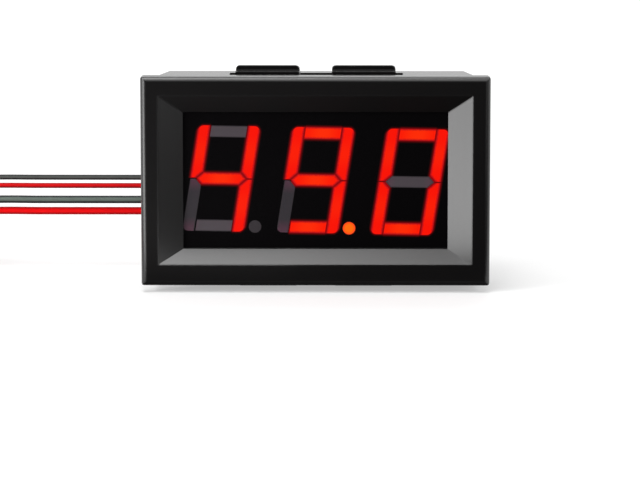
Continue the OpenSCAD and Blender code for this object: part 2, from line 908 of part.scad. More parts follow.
// Bare end of the lead on one ring of turns, straight on from where it leaves the coil
module tip(middle, rings, turns, which, d, core, leaves_at, spin) {
    outer = coil_outer(rings, d);
    out = sqrt(outer * outer - rings[which] * rings[which]);
    translate([middle.x, middle.y, tie_t + d / 2 + turns[which] * d])
        rotate(leaves_at)
            translate([rings[which], spin * out, 0])
                rotate([-90 * spin, 0, 0]) cylinder(h = tip_len, d = core);
}

module supply_minus_tip() {
    color("#d6d8dc")
        tip(supply_middle, supply_rings, supply_turns, 1, thin_d, thin_core, 270, -1);
}

module supply_plus_tip() {
    color("#d6d8dc")
        tip(supply_middle, supply_rings, supply_turns, 0, thin_d, thin_core, 180, -1);
}

module signal_minus_tip() {
    color("#d6d8dc")
        tip(signal_middle, signal_rings, signal_turns, 1, thick_d, thick_core, 90, 1);
}

module signal_plus_tip() {
    color("#d6d8dc")
        tip(signal_middle, signal_rings, signal_turns, 0, thick_d, thick_core, 270, 1);
}

housing();
display_reflector();
digit_lit(0);  // digit_1_lit
digit_dark(0);  // digit_1_dark
digit_lit(1);  // digit_2_lit
digit_dark(1);  // digit_2_dark
digit_lit(2);  // digit_3_lit
digit_dark(2);  // digit_3_dark
point_lit();
point_dark();
display_board();
light_chips();
display_resin();
display_pins();
circuit_board();
pin_solder();
controller_body();
controller_leads();
amplifier_body();
amplifier_leads();
regulator_body();
regulator_tabs();
diode_body();
diode_tabs();
tantalum_body();
tantalum_tabs();
capacitor_bodies();
resistor_bodies();
chip_part_ends();
trimmer_body();
trimmer_tabs();
trimmer_rotor();
lead_solder();
lead(supply_minus_route, thin_d, "#2c302e");  // supply_minus_lead
lead(supply_plus_route, thin_d, "#c81420");  // supply_plus_lead
lead(signal_minus_route, thick_d, "#2c302e");  // signal_minus_lead
lead(signal_plus_route, thick_d, "#e60a0e");  // signal_plus_lead
supply_coil();
signal_coil();
supply_tie();
signal_tie();
supply_minus_tip();
supply_plus_tip();
signal_minus_tip();
signal_plus_tip();
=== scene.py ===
"""Looks of a three-digit LED panel meter: finishes, leads, board details and studio.

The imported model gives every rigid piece. This script paints those pieces, lays the
four leads in their coils, adds the board's pads, tracks and print, and sets up a
plain studio with a camera a little above the meter.
"""

import enum
import json
import logging
import math
from collections.abc import Callable, Sequence
from dataclasses import dataclass

import bmesh
import bpy
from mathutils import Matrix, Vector

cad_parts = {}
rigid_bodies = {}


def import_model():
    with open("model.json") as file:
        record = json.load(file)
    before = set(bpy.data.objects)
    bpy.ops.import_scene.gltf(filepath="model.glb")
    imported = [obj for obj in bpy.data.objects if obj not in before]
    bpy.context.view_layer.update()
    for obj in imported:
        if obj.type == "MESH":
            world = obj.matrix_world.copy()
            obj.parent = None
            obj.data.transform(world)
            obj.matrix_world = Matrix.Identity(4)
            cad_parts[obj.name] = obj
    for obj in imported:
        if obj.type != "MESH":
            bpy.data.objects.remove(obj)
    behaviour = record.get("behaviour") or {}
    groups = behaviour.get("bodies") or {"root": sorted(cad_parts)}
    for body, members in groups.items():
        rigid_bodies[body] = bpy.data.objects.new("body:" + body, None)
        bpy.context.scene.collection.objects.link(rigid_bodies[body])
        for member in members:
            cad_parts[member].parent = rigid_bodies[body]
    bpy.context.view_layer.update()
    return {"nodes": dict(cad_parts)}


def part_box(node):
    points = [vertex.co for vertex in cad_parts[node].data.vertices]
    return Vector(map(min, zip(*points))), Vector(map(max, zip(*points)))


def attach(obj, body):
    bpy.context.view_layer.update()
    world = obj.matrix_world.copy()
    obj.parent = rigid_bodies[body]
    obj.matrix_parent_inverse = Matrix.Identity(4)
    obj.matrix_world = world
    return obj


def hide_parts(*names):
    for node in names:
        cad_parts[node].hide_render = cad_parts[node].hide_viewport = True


for leftover in list(bpy.data.objects):
    bpy.data.objects.remove(leftover)

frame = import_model()

LOG = logging.getLogger("panel_meter")
MM = 0.001
BODY = "meter"

Point = tuple[float, float, float]
Place = tuple[float, float]
Span = tuple[float, float]
Colour = tuple[float, float, float]
Shades = tuple[Colour, Colour]

# Decimals of a metre to which vertices and columns of solids count as one.
VERTEX_DECIMALS = 7
COLUMN_DECIMALS = 5

BLACK = (0.0, 0.0, 0.0)
WHITE = (1.0, 1.0, 1.0)


# ---------------------------------------------------------------- shader maths


def maths(operation: str, turned: bool = False) -> Callable[["Wire", object], "Wire"]:
    """A method of Wire that adds a Math node for two values.

    Args:
        operation: Blender's name of the operation.
        turned: Whether the other value comes first.

    Returns:
        The method.
    """
    def method(wire: "Wire", other: "Wire | float") -> "Wire":
        """Adds the node and returns its result."""
        pair = (other, wire) if turned else (wire, other)
        return wire.calc(operation, *pair)

    return method


class Wire:
    """A value in a node tree; Python's operators on it add Math nodes."""

    __add__ = __radd__ = maths("ADD")
    __sub__, __rsub__ = maths("SUBTRACT"), maths("SUBTRACT", turned=True)
    __mul__ = __rmul__ = maths("MULTIPLY")
    __truediv__, __rtruediv__ = maths("DIVIDE"), maths("DIVIDE", turned=True)
    __gt__, __lt__ = maths("GREATER_THAN"), maths("LESS_THAN")
    least, most = maths("MINIMUM"), maths("MAXIMUM")

    def __init__(self, graph: "Graph", socket: bpy.types.NodeSocket) -> None:
        """Keeps the tree and the output socket that the value comes from."""
        self.graph = graph
        self.socket = socket

    def calc(self, operation: str, *values: "Wire | float") -> "Wire":
        """Adds one Math node for the operation and returns its result."""
        settings = {"operation": operation}
        return self.graph.node("ShaderNodeMath", settings, dict(enumerate(values)))

    def __neg__(self) -> "Wire":
        """This value with its sign turned."""
        return self.calc("MULTIPLY", self, -1.0)

    def __abs__(self) -> "Wire":
        """This value without its sign."""
        return self.calc("ABSOLUTE", self)

    def rounded(self) -> "Wire":
        """The nearest whole number."""
        return self.calc("ROUND", self)

    def cubed(self) -> "Wire":
        """The third power."""
        return self * self * self

    def with_side(self, other: "Wire") -> "Wire":
        """Length of the diagonal over this side and the other."""
        return self.calc("SQRT", self * self + other * other)

    def sine(self) -> "Wire":
        """The sine of the value in radians."""
        return self.calc("SINE", self)

    def swing(self, spread: float) -> "Wire":
        """How far the value lies from one half, times spread."""
        return (self - 0.5) * spread

    def ramped(self, low: float, high: float, start: float = 0.0,
               end: float = 1.0) -> "Wire":
        """Smooth step from start to end as the value goes from low to high.

        Args:
            low: Value at which the result is start.
            high: Value at which the result is end.
            start: Result at and before low.
            end: Result at and after high.

        Returns:
            The result as a new value.
        """
        settings = {"interpolation_type": "SMOOTHSTEP"}
        values = {"Value": self, "From Min": low, "From Max": high,
                  "To Min": start, "To Max": end}
        return self.graph.node("ShaderNodeMapRange", settings, values)


class Graph:
    """The node tree of a material or a world, ready to take expressions."""

    def __init__(self, name: str, kind: str = "Material") -> None:
        """Makes a material or a world, as kind says, with an empty tree."""
        self.kind = kind
        self.owner = getattr(bpy.data, kind.lower() + "s").new(name)
        self.owner.use_nodes = True
        self.tree = self.owner.node_tree
        self.tree.nodes.clear()
        self._coordinates: Wire | None = None

    def node(
        self,
        kind: str,
        settings: dict[str, object] | None = None,
        values: dict[str | int, object] | None = None,
        output: str | int = 0,
    ) -> Wire:
        """Adds a node of any kind.

        Args:
            kind: Blender's name of the node type.
            settings: Properties of the node, which are set first.
            values: Numbers, colours or wires for its input sockets.
            output: Name or number of the output that is wanted.

        Returns:
            The wanted output.
        """
        made = self.tree.nodes.new(kind)
        for key, value in (settings or {}).items():
            setattr(made, key, value)
        for key, value in (values or {}).items():
            if isinstance(value, Wire):
                self.tree.links.new(value.socket, made.inputs[key])
            else:
                made.inputs[key].default_value = value
        return Wire(self, made.outputs[output])

    def place(self) -> Wire:
        """Position on the object, in metres, the same at every pose."""
        if self._coordinates is None:
            self._coordinates = self.node("ShaderNodeTexCoord", output="Object")
        return self._coordinates

    def split(self, vector: Wire) -> tuple[Wire, Wire, Wire]:
        """The x, y and z of a vector."""
        apart = self.node("ShaderNodeSeparateXYZ", values={"Vector": vector})
        outputs = apart.socket.node.outputs
        return tuple(Wire(self, outputs[axis]) for axis in "XYZ")

    def noise(self, per_metre: float, detail: float = 2.0) -> Wire:
        """Soft noise from 0 to 1 over the object, with octaves of finer detail."""
        values = {"Vector": self.place(), "Scale": per_metre, "Detail": detail}
        return self.node("ShaderNodeTexNoise", values=values)

    def cloud(self, per_metre: float) -> Wire:
        """Noise with one octave more than usual."""
        return self.noise(per_metre, 3.0)

    def mix(self, share: Wire, start: Wire | Colour, end: Wire | Colour) -> Wire:
        """Blend of two colours: start where share is nought, end where it is one."""
        first, second = (c if isinstance(c, Wire) else solid(c) for c in (start, end))
        values = {0: share, 6: first, 7: second}
        return self.node("ShaderNodeMix", {"data_type": "RGBA"}, values, output=2)

    def bump(self, height: Wire, depth: float, edge: float = 0.0) -> Wire:
        """Normal that follows a height map.

        Args:
            height: Height from 0 to 1.
            depth: Size of that range, in millimetres.
            edge: Radius by which sharp edges are rounded, in millimetres.

        Returns:
            The bumped normal.
        """
        values = {"Height": height, "Distance": depth * MM, "Strength": 1.0}
        if edge:
            values["Normal"] = self.eased(edge)
        return self.node("ShaderNodeBump", values=values)

    def eased(self, radius: float) -> Wire:
        """Normal that rounds the object's sharp edges by radius, in millimetres."""
        return self.node("ShaderNodeBevel", {"samples": 4}, {"Radius": radius * MM})

    def principled(self, **values: object) -> bpy.types.Material:
        """Ends the tree in one Principled shader.

        Args:
            **values: Socket names, with underscores for spaces, and their values.

        Returns:
            The finished material.
        """
        named = {key.replace("_", " "): value for key, value in values.items()}
        return self.ended(self.node("ShaderNodeBsdfPrincipled", values=named))

    def ended(self, shader: Wire) -> bpy.types.Material | bpy.types.World:
        """Ends the tree in a shader and returns the finished material or world."""
        out = self.tree.nodes.new("ShaderNodeOutput" + self.kind)
        self.tree.links.new(shader.socket, out.inputs["Surface"])
        return self.owner


def solid(colour: Colour) -> tuple[float, float, float, float]:
    """The colour with full alpha."""
    return (*colour, 1.0)


def centre_of(low: Vector, high: Vector) -> Place:
    """Middle of a box across and up."""
    return (low.x + high.x) / 2, (low.z + high.z) / 2


def toned(colour: Colour, factor: float, lift: float = 0.0) -> Colour:
    """The colour times factor, plus lift."""
    return tuple(c * factor + lift for c in colour)


# -------------------------------------------------------------------- finishes


@dataclass(frozen=True)
class Finish:
    """A look that can be put on pieces."""

    name: str

    def sockets(self, graph: Graph) -> dict[str, object]:
        """Works out the shader's sockets.

        Args:
            graph: The tree to work in.

        Returns:
            Socket names, with underscores for spaces, and their values.
        """
        raise NotImplementedError

    def material(self) -> bpy.types.Material:
        """Builds the material."""
        graph = Graph(self.name)
        return graph.principled(**self.sockets(graph))


@dataclass(frozen=True)
class MouldedPlastic(Finish):
    """Satin moulding with a fine spark-eroded grain and eased edges."""

    colour: Colour
    roughness: float = 0.36
    mottle: float = 0.12
    grain_per_mm: float = 14.0
    grain_depth: float = 0.0015
    edge: float = 0.12
    clouds_per_metre: float = 180.0
    dust: float = 0.0006
    cloud_rough: float = 0.08
    grain_rough: float = 0.05

    def sockets(self, graph: Graph) -> dict[str, object]:
        """Sockets of the moulding."""
        cloud = graph.cloud(self.clouds_per_metre)
        grain = graph.noise(self.grain_per_mm / MM)
        rough = (self.roughness + cloud.swing(self.cloud_rough)
                 + grain.swing(self.grain_rough))
        return dict(
            Base_Color=graph.mix(cloud, toned(self.colour, 1.0 - self.mottle),
                                 toned(self.colour, 1.0 + self.mottle, self.dust)),
            Roughness=rough,
            Normal=graph.bump(grain, self.grain_depth, self.edge),
        )


@dataclass(frozen=True)
class CasePlastic(Finish):
    """Glossy black moulding, matt on its flat face and on what faces the table."""

    colour: Colour = (0.003, 0.0027, 0.0028)
    gloss: float = 0.24
    matt: float = 0.5
    sheen: float = 0.04
    coat_ior: float = 1.5
    edge: float = 0.1
    fade: float = 0.35
    facing_range: Span = (0.9, 0.99)
    falling_range: Span = (0.1, 0.4)
    clouds_per_metre: float = 160.0
    cloud_rough: float = 0.05
    cloud_tone: float = 1.25
    grain_per_metre: float = 12000.0
    grain_depth: float = 0.002

    def sockets(self, graph: Graph) -> dict[str, object]:
        """Sockets of the case; the grain fades out round the face's edges."""
        _, facing, rising = graph.split(graph.eased(self.fade))
        # Painted shade: what faces down gets no gloss coat, so it stays dark as if
        # shaded.
        flat = (-facing).ramped(*self.facing_range).most(
            (-rising).ramped(*self.falling_range))
        cloud = graph.cloud(self.clouds_per_metre)
        grain = graph.noise(self.grain_per_metre) * flat
        return dict(
            Base_Color=graph.mix(cloud, self.colour,
                                 toned(self.colour, self.cloud_tone)),
            Roughness=self.matt + cloud.swing(self.cloud_rough),
            Specular_IOR_Level=self.sheen,
            Coat_Weight=1.0 - flat,
            Coat_Roughness=self.gloss,
            Coat_IOR=self.coat_ior,
            Normal=graph.bump(grain, self.grain_depth, self.edge),
        )


@dataclass(frozen=True)
class BandedPlastic(Finish):
    """Plastic body of a two-ended part, with a printed bar near one end."""

    colour: Colour
    bar_colour: Colour
    bar_start: float
    bar_end: float
    roughness: float = 0.45
    grain_per_metre: float = 9000.0
    grain_rough: float = 0.1
    grain_depth: float = 0.002
    wear_per_metre: float = 4000.0
    wear_range: Span = (0.15, 0.3)
    edge: float = 0.08

    @classmethod
    def on(cls, node: str, name: str, colours: Shades,
           shares: Span) -> "BandedPlastic":
        """Finish of a part whose bar lies between two shares of its length.

        Args:
            node: The part's node.
            name: Name of the material.
            colours: Colour of the body and of the bar.
            shares: Where the bar starts and ends, from 0 at the part's left end.

        Returns:
            The finish.
        """
        low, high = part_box(node)
        width = high.x - low.x
        return cls(name, *colours, *(low.x + width * share for share in shares))

    def sockets(self, graph: Graph) -> dict[str, object]:
        """Sockets of the body; the bar lies between two places along X, in metres."""
        along, _, _ = graph.split(graph.place())
        grain = graph.noise(self.grain_per_metre)
        bar = (along > self.bar_start) * (along < self.bar_end)
        worn = bar * graph.noise(self.wear_per_metre).ramped(*self.wear_range)
        return dict(
            Base_Color=graph.mix(worn, self.colour, self.bar_colour),
            Roughness=self.roughness + grain.swing(self.grain_rough),
            Normal=graph.bump(grain, self.grain_depth, self.edge),
        )


@dataclass(frozen=True)
class Metal(Finish):
    """Plated or soldered metal with small differences in its shine."""

    colour: Colour
    roughness: float = 0.28
    dimple_per_mm: float = 3.0
    dimple_depth: float = 0.01
    tarnish: Colour = (0.34, 0.32, 0.3)
    most_tarnish: float = 0.35
    tarnish_rough: float = 0.5
    clouds_per_metre: float = 1400.0
    cloud_range: Span = (0.5, 0.8)
    edge: float = 0.04

    def sockets(self, graph: Graph) -> dict[str, object]:
        """Sockets of the metal."""
        cloud = graph.cloud(self.clouds_per_metre)
        dimples = graph.noise(self.dimple_per_mm / MM, 1.0)
        dull = cloud.ramped(*self.cloud_range, 0.0, self.most_tarnish)
        return dict(
            Base_Color=graph.mix(dull, self.colour, self.tarnish),
            Metallic=1.0,
            Roughness=self.roughness + dull * self.tarnish_rough,
            Normal=graph.bump(dimples, self.dimple_depth, self.edge),
        )


@dataclass(frozen=True)
class LeadJacket(Finish):
    """Soft satin PVC insulation, a little wavy; its sides carry a painted highlight."""

    colour: Colour
    # pale is the colour of the painted highlight.
    pale: Colour
    roughness: float = 0.48
    sheen: float = 0.05
    clouds_per_metre: float = 350.0
    cloud_share: Span = (0.7, 0.6)
    waves_per_metre: float = 900.0
    wave_depth: float = 0.02
    grain_per_metre: float = 9000.0
    grain_share: float = 0.2
    grain_rough: float = 0.12
    lower_range: Span = (-0.6, -0.05)
    upper_range: Span = (0.45, 0.88)

    def sockets(self, graph: Graph) -> dict[str, object]:
        """Sockets of the insulation."""
        cloud = graph.noise(self.clouds_per_metre)
        waves = graph.cloud(self.waves_per_metre)
        grain = graph.noise(self.grain_per_metre)
        _, _, rise = graph.split(graph.node("ShaderNodeTexCoord", output="Normal"))
        # Painted highlight: pale where the normal points sideways, neither far up nor
        # far down.
        highlight_band = rise.ramped(*self.lower_range) * rise.ramped(*self.upper_range, 1.0, 0.0)
        least, spread = self.cloud_share
        painted_highlight = highlight_band * (least + cloud * spread)
        return dict(
            Base_Color=graph.mix(painted_highlight.least(1.0), self.colour, self.pale),
            Roughness=self.roughness + grain.swing(self.grain_rough),
            Specular_IOR_Level=self.sheen,
            Normal=graph.bump(waves + grain * self.grain_share, self.wave_depth),
        )


@dataclass(frozen=True)
class Laminate(Finish):
    """Solder mask over glass weave, with bare board at the edges."""

    mask: Colour
    edge: Colour
    front: float
    back: float
    skin: float = 0.03
    roughness: float = 0.28
    edge_rough: float = 0.4
    clouds_per_metre: float = 260.0
    cloud_rough: float = 0.15
    cloud_tone: float = 0.72
    weave_turns: float = 9000.0
    weave_depth: float = 0.003

    def sockets(self, graph: Graph) -> dict[str, object]:
        """Sockets of the board; its edges show the bare glass and resin."""
        across, deep, up = graph.split(graph.place())
        threads = (across * self.weave_turns).sine() * (up * self.weave_turns).sine()
        cloud = graph.cloud(self.clouds_per_metre)
        skin = self.skin * MM
        inside = (deep > self.front + skin) * (deep < self.back - skin)
        face = graph.mix(cloud, toned(self.mask, self.cloud_tone), self.mask)
        return dict(
            Base_Color=graph.mix(inside, face, self.edge),
            Roughness=(self.roughness + cloud.swing(self.cloud_rough)
                       + inside * self.edge_rough),
            Normal=graph.bump(threads * 0.5 + 0.5, self.weave_depth),
        )


@dataclass(frozen=True)
class DigitLayout:
    """Where the strokes of the leaning digits lie, in millimetres."""

    pitch: float = 13.0
    height: float = 14.7
    width: float = 8.5
    stroke: float = 1.6
    gap: float = 0.2
    tip_back: float = 0.1
    corner: float = 1.0
    lean: float = math.radians(8.0)
    turn: float = math.radians(1.0)
    drop: float = 0.1

    def placed(self, graph: Graph) -> tuple[Wire, Wire, Wire]:
        """Place within one digit, as if the digits stood upright.

        Args:
            graph: The material that asks.

        Returns:
            Distance right of and above the digit's middle, in millimetres, and how
            many digits to the right of the middle one it is.
        """
        low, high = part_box("display_reflector")
        across, _, up = graph.split(graph.place())
        flat_x = across * (1.0 / MM)
        flat_z = (up - (low.z + high.z) / 2.0) * (1.0 / MM) + self.drop
        rise = flat_x * math.sin(self.turn) + flat_z * math.cos(self.turn)
        side = (flat_x * math.cos(self.turn) - flat_z * math.sin(self.turn)
                - rise * math.tan(self.lean))
        digit = (side / self.pitch).rounded()
        return side - digit * self.pitch, rise, digit

    def halo(self, graph: Graph, reach: float) -> Wire:
        """Light that spills from the lit strokes of the reading 4 9. 0.

        Args:
            graph: The material that asks.
            reach: How far the light spills, in millimetres.

        Returns:
            About one at a lit stroke's edge and nought at reach from it.
        """
        side, rise, digit = self.placed(graph)
        half_w, half_h, half_s = self.width / 2, self.height / 2, self.stroke / 2

        def near(across: Wire, up: Wire, half_across: float, half_up: float) -> Wire:
            """Spill from a box whose middle lies across and up from the place."""
            away = (abs(across) - half_across).most(0.0) + (abs(up) - half_up).most(0.0)
            return ((reach - away) / reach).most(0.0).cubed()

        first, last = digit < 0.0, digit > 0.0
        lower_left = (side < 0.0) * (rise < 0.0)
        uprights = near(abs(side) - (half_w - half_s), abs(rise) - half_h / 2,
                        half_s, half_h / 2 - self.gap / 2)
        outer_bars = near(side, abs(rise) - (half_h - half_s),
                          half_w - self.stroke - self.gap, half_s)
        middle_bar = near(side, rise, half_w - half_s - self.gap, half_s)
        lit = (uprights * (1.0 - lower_left * (1.0 - last))
               + outer_bars * (1.0 - first) + middle_bar * (1.0 - last))
        past_side = (abs(side) - (half_w - self.corner)).most(0.0)
        past_rise = (abs(rise) - (half_h - self.corner)).most(0.0)
        past = past_side.with_side(past_rise)
        outside = past.ramped(self.corner, self.corner + reach, 1.0, 0.0)
        return lit.least(outside.cubed())

    def stroke_depth(self, graph: Graph) -> tuple[Wire, Wire, Wire]:
        """How deep a point lies in its stroke, and where along the stroke.

        Args:
            graph: The material that asks.

        Returns:
            Distance in from the stroke's long edge and distance from the stroke's
            middle, both in millimetres, and one on an upright stroke.
        """
        side, rise, _ = self.placed(graph)
        side, rise = abs(side), abs(rise)
        half_w, half_h, half_s = self.width / 2, self.height / 2, self.stroke / 2
        tip = half_w - half_s - self.tip_back
        diagonal = self.gap * math.sqrt(2.0)
        past_tip = side + rise - tip
        upright = ((side > half_w - self.stroke - self.gap / 2)
                   * (past_tip > diagonal / 2))
        to_tip = (past_tip - diagonal) / math.sqrt(2.0)
        in_upright = (half_s - abs(side - (half_w - half_s))).least(to_tip)
        in_middle = (half_s - rise).least(-past_tip / math.sqrt(2.0))
        in_outer = half_s - abs(rise - (half_h - half_s))
        in_level = in_outer.most(in_middle)
        depth = in_upright * upright + in_level * (1.0 - upright)
        from_middle = abs(rise - half_h / 2) * upright + side * (1.0 - upright)
        return depth, from_middle, upright


@dataclass(frozen=True)
class GlowingResin(Finish):
    """Lit segment: an even red glow, warmer over its chip and deeper at its edges."""

    layout: DigitLayout
    level_colour: Colour = (0.96, 0.01, 0.0006)
    upright_colour: Colour = (0.94, 0.0065, 0.001)
    edge_colour: Colour = (0.36, 0.004, 0.009)
    edge_range: Span = (-0.04, 0.34)
    hot_colour: Colour = (1.0, 0.045, 0.002)
    hot_range: Span = (0.2, 2.6)
    most_hot: float = 0.42
    less_hot_upright: float = 0.6
    speckles_per_metre: float = 5200.0
    speckle_range: Span = (0.35, 0.65)
    speckle: float = 0.03
    resin: Colour = (0.014, 0.0003, 0.0003)
    roughness: float = 0.5
    sheen: float = 0.02

    def sockets(self, graph: Graph) -> dict[str, object]:
        """Sockets of the lit segments."""
        depth, from_middle, upright = self.layout.stroke_depth(graph)
        core = graph.mix(upright, self.level_colour, self.upright_colour)
        hot = (from_middle.ramped(*self.hot_range, self.most_hot, 0.0)
               * (1.0 - upright * self.less_hot_upright))
        speckle = graph.noise(self.speckles_per_metre).ramped(
            *self.speckle_range, -self.speckle, self.speckle)
        glow = graph.mix((depth + speckle).ramped(*self.edge_range), self.edge_colour,
                         graph.mix(hot, core, self.hot_colour))
        return dict(
            Base_Color=solid(self.resin),
            Roughness=self.roughness,
            Specular_IOR_Level=self.sheen,
            Emission_Color=glow,
            Emission_Strength=1.0,
        )


@dataclass(frozen=True)
class DisplayFace(Finish):
    """Matt black face of the display, with a painted red glow near the lit strokes."""

    layout: DigitLayout
    colour: Colour = (0.0011, 0.0009, 0.0011)
    spill: Colour = (0.26, 0.0008, 0.002)
    reach: float = 0.5
    skin: float = 0.05
    grain_per_metre: float = 6000.0
    grain_tone: float = 1.8
    grain_depth: float = 0.006
    roughness: float = 0.6
    sheen: float = 0.012

    def sockets(self, graph: Graph) -> dict[str, object]:
        """Sockets of the face."""
        _, deep, _ = graph.split(graph.place())
        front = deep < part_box("display_reflector")[0].y + self.skin * MM
        # Painted glow: red emission where light of the lit strokes spills onto the
        # face.
        halo = (self.layout.halo(graph, self.reach) * front).least(1.0)
        grain = graph.cloud(self.grain_per_metre)
        return dict(
            Base_Color=graph.mix(grain, self.colour,
                                 toned(self.colour, self.grain_tone)),
            Roughness=self.roughness,
            Specular_IOR_Level=self.sheen,
            Emission_Color=graph.mix(halo, BLACK, self.spill),
            Emission_Strength=1.0,
            Normal=graph.bump(grain, self.grain_depth),
        )


@dataclass(frozen=True)
class GlowingPoint(Finish):
    """Lit decimal point: orange, with a redder rim."""

    core: Colour = (1.0, 0.145, 0.002)
    rim: Colour = (1.0, 0.06, 0.008)
    rim_range: Span = (0.5, 1.0)
    resin: Colour = (0.04, 0.006, 0.001)
    roughness: float = 0.5
    sheen: float = 0.04

    def sockets(self, graph: Graph) -> dict[str, object]:
        """Sockets of the lit point."""
        low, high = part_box("point_lit")
        middle_x, middle_z = centre_of(low, high)
        across, _, up = graph.split(graph.place())
        radius = (across - middle_x).with_side(up - middle_z)
        edge = (radius / ((high.x - low.x) / 2.0)).ramped(*self.rim_range)
        return dict(
            Base_Color=solid(self.resin),
            Roughness=self.roughness,
            Specular_IOR_Level=self.sheen,
            Emission_Color=graph.mix(edge, self.core, self.rim),
            Emission_Strength=1.0,
        )


@dataclass(frozen=True)
class DarkResin(Finish):
    """Unlit segment: milky grey resin, with a painted pink glow near lit ones."""

    layout: DigitLayout
    colour: Colour = (0.066, 0.055, 0.063)
    upright_colour: Colour = (0.028, 0.0245, 0.029)
    # Colour of painted light that spills from the lit strokes.
    spilt_light: Colour = (0.12, 0.04, 0.07)
    spill_range: Span = (1.6, 3.4)
    most_spill: float = 0.45
    edge_range: Span = (0.0, 0.22)
    edge_tone: float = 0.45
    clouds_per_metre: float = 2600.0
    cloud_spill: float = 0.12
    cloud_rough: float = 0.1
    cloud_depth: float = 0.004
    roughness: float = 0.45
    sheen: float = 0.06

    def sockets(self, graph: Graph) -> dict[str, object]:
        """Sockets of the unlit segments."""
        depth, from_middle, upright = self.layout.stroke_depth(graph)
        cloud = graph.cloud(self.clouds_per_metre)
        milk = graph.mix(upright, self.colour, self.upright_colour)
        # Painted light: pink spilt from lit strokes, rising toward this stroke's ends.
        pink = (from_middle.ramped(*self.spill_range, 0.0, self.most_spill)
                + cloud.swing(self.cloud_spill)).most(0.0)
        edged = graph.mix(depth.ramped(*self.edge_range),
                          toned(self.colour, self.edge_tone),
                          graph.mix(pink, milk, self.spilt_light))
        return dict(
            Base_Color=edged,
            Roughness=self.roughness + cloud.swing(self.cloud_rough),
            Specular_IOR_Level=self.sheen,
            Normal=graph.bump(cloud, self.cloud_depth),
        )


# ------------------------------------------------------------------ mesh tools


class MeshMaker:
    """Gathers boxes, strips and discs into one mesh that rides on the meter."""

    least_stretch = 0.1

    def __init__(self, name: str) -> None:
        """Starts an empty mesh for a piece of that name."""
        self.name = name
        self.mesh = bmesh.new()

    def prism(self, outline: Sequence[Place], span: Span) -> None:
        """Adds a prism that stands off an upright plane.

        Args:
            outline: Corners across and up, anticlockwise as seen from behind.
            span: Where the prism starts and ends along Y.
        """
        near, far = ([self.mesh.verts.new((x, y, z)) for x, z in outline] for y in span)
        self.mesh.faces.new(far)
        self.mesh.faces.new(near[::-1])
        count = len(outline)
        for i in range(count):
            j = (i + 1) % count
            self.mesh.faces.new((near[i], near[j], far[j], far[i]))

    def rectangle(self, low: Place, high: Place, span: Span) -> None:
        """Adds a flat pad from its lowest to its highest corner."""
        self.prism((low, (low[0], high[1]), high, (high[0], low[1])), span)

    def disc(self, centre: Place, radius: float, span: Span, sides: int = 20) -> None:
        """Adds a flat round pad with that many sides."""
        turn = -2.0 * math.pi / sides
        corners = [(centre[0] + radius * math.cos(i * turn),
                    centre[1] + radius * math.sin(i * turn)) for i in range(sides)]
        self.prism(corners, span)

    def strip(self, points: Sequence[Place], width: float, span: Span) -> None:
        """Adds a flat strip that runs straight from point to point."""
        for (x0, z0), (x1, z1) in zip(points, points[1:]):
            length = math.hypot(x1 - x0, z1 - z0)
            if length < width * self.least_stretch:
                continue
            ox, oz = (z1 - z0) / length * width / 2, -(x1 - x0) / length * width / 2
            corners = ((x0 + ox, z0 + oz), (x0 - ox, z0 - oz), (x1 - ox, z1 - oz),
                       (x1 + ox, z1 + oz))
            self.prism(corners, span)

    def finished(self, finish: Finish, slot: str) -> None:
        """Makes the mesh a piece on the meter, with the finish's material."""
        bmesh.ops.recalc_face_normals(self.mesh, faces=self.mesh.faces)
        data = bpy.data.meshes.new(self.name)
        self.mesh.to_mesh(data)
        self.mesh.free()
        data.materials.append(finish.material())
        piece = bpy.data.objects.new(self.name, data)
        bpy.context.scene.collection.objects.link(piece)
        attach(piece, BODY)
        LOG.info("%s added", self.name)


def solids_of(node: str) -> list[tuple[Vector, Vector]]:
    """Lowest and highest corners of a CAD node's solids, from left to right."""
    data = frame["nodes"][node].data
    parent = list(range(len(data.vertices)))

    def root(i: int) -> int:
        """The vertex that stands for the group of vertex i."""
        while parent[i] != i:
            parent[i] = parent[parent[i]]
            i = parent[i]
        return i

    places: dict[tuple[float, ...], int] = {}
    for vertex in data.vertices:
        key = tuple(round(c, VERTEX_DECIMALS) for c in vertex.co)
        parent[root(vertex.index)] = root(places.setdefault(key, vertex.index))
    for edge in data.edges:
        parent[root(edge.vertices[0])] = root(edge.vertices[1])
    groups: dict[int, list[Vector]] = {}
    for vertex in data.vertices:
        groups.setdefault(root(vertex.index), []).append(vertex.co)
    boxes = [
        (Vector([min(c[a] for c in g) for a in range(3)]),
         Vector([max(c[a] for c in g) for a in range(3)]))
        for g in groups.values()
    ]
    return sorted(boxes, key=lambda b: tuple(
        round(c, COLUMN_DECIMALS) for c in (b[0].x, b[0].z)))


def dress(finish: Finish, *nodes: str) -> None:
    """Gives CAD nodes a finish."""
    material = finish.material()
    for name in nodes:
        for slot in frame["nodes"][name].material_slots:
            slot.material = material
        LOG.info("%s wears %s", name, material.name)


# ----------------------------------------------------------------------- leads


class Spin(enum.Enum):
    """Way round a coil, as seen from above."""

    LEFT = 1
    RIGHT = -1


